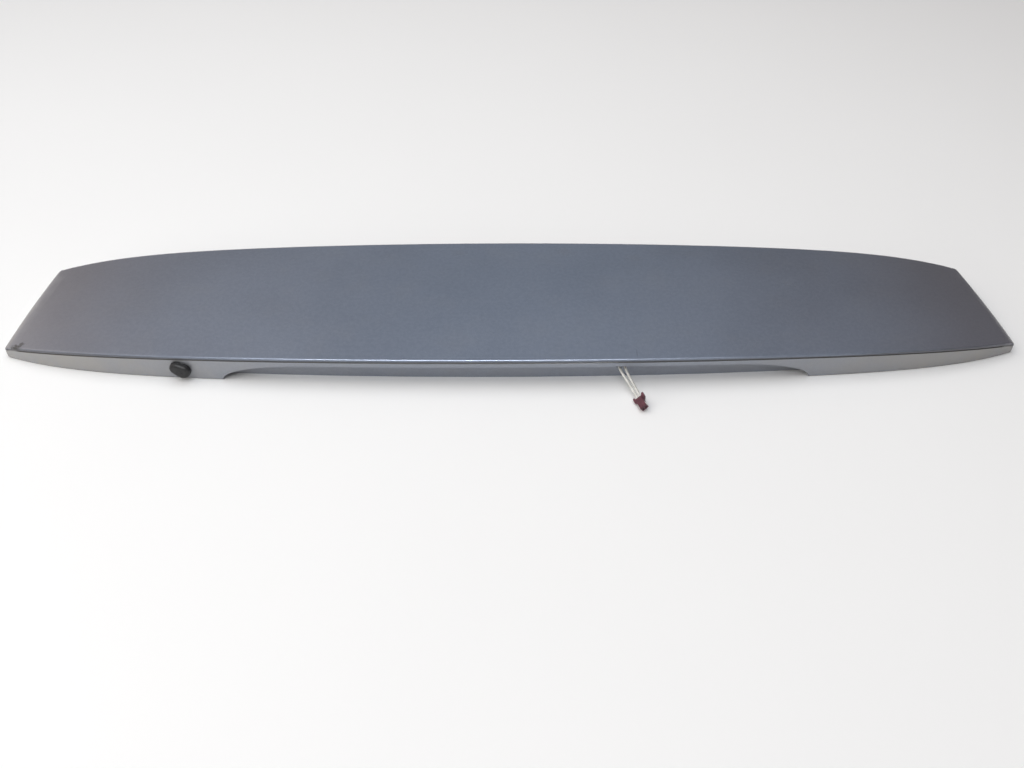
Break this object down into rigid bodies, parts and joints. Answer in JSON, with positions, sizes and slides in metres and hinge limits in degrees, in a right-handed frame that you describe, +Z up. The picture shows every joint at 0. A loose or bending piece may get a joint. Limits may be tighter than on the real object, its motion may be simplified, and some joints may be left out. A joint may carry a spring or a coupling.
{
  "type": "roof spoiler",
  "caption": "Long shallow tailgate roof spoiler of painted moulded shells, with an arched cut-out under its rear lip, a washer jet and a short wired lead.",
  "frame": {"origin": "on the floor under the middle of the spoiler's outline, leads left out", "axes": "+X across the car to the right seen from behind, +Y to the front edge, +Z up"},
  "size_m": [1.2446, 0.2798, 0.0506],
  "materials": {
    "painted_shell": "metallic blue-grey paint with clear coat over moulded plastic, worn",
    "black_plastic": "moulded black plastic",
    "pale_plastic": "moulded pale grey plastic",
    "red_plastic": "moulded dark red plastic",
    "black_rubber": "matte black rubber",
    "foam": "closed-cell black foam",
    "felt": "pressed dark felt",
    "steel": "zinc-plated steel",
    "contact_metal": "tinned brass",
    "wire_white": "white insulation"
  },
  "bodies": {
    "root": {"upper_shell": "painted_shell", "lower_shell": "painted_shell", "jet_body": "black_plastic", "jet_insert": "black_plastic", "jet_nut": "black_plastic", "hose_coupling": "black_plastic", "jet_gasket": "black_rubber", "coupling_seal": "black_rubber", "lead_gland": "black_rubber", "washer_hose": "black_rubber", "mounting_studs": "steel", "stud_seals": "foam", "front_seal": "foam", "end_pads": "felt", "lead_wire_left": "wire_white", "lead_wire_right": "wire_white", "connector_housing": "red_plastic", "connector_lock": "pale_plastic", "connector_contacts": "contact_metal"}
  },
  "joints": []
}
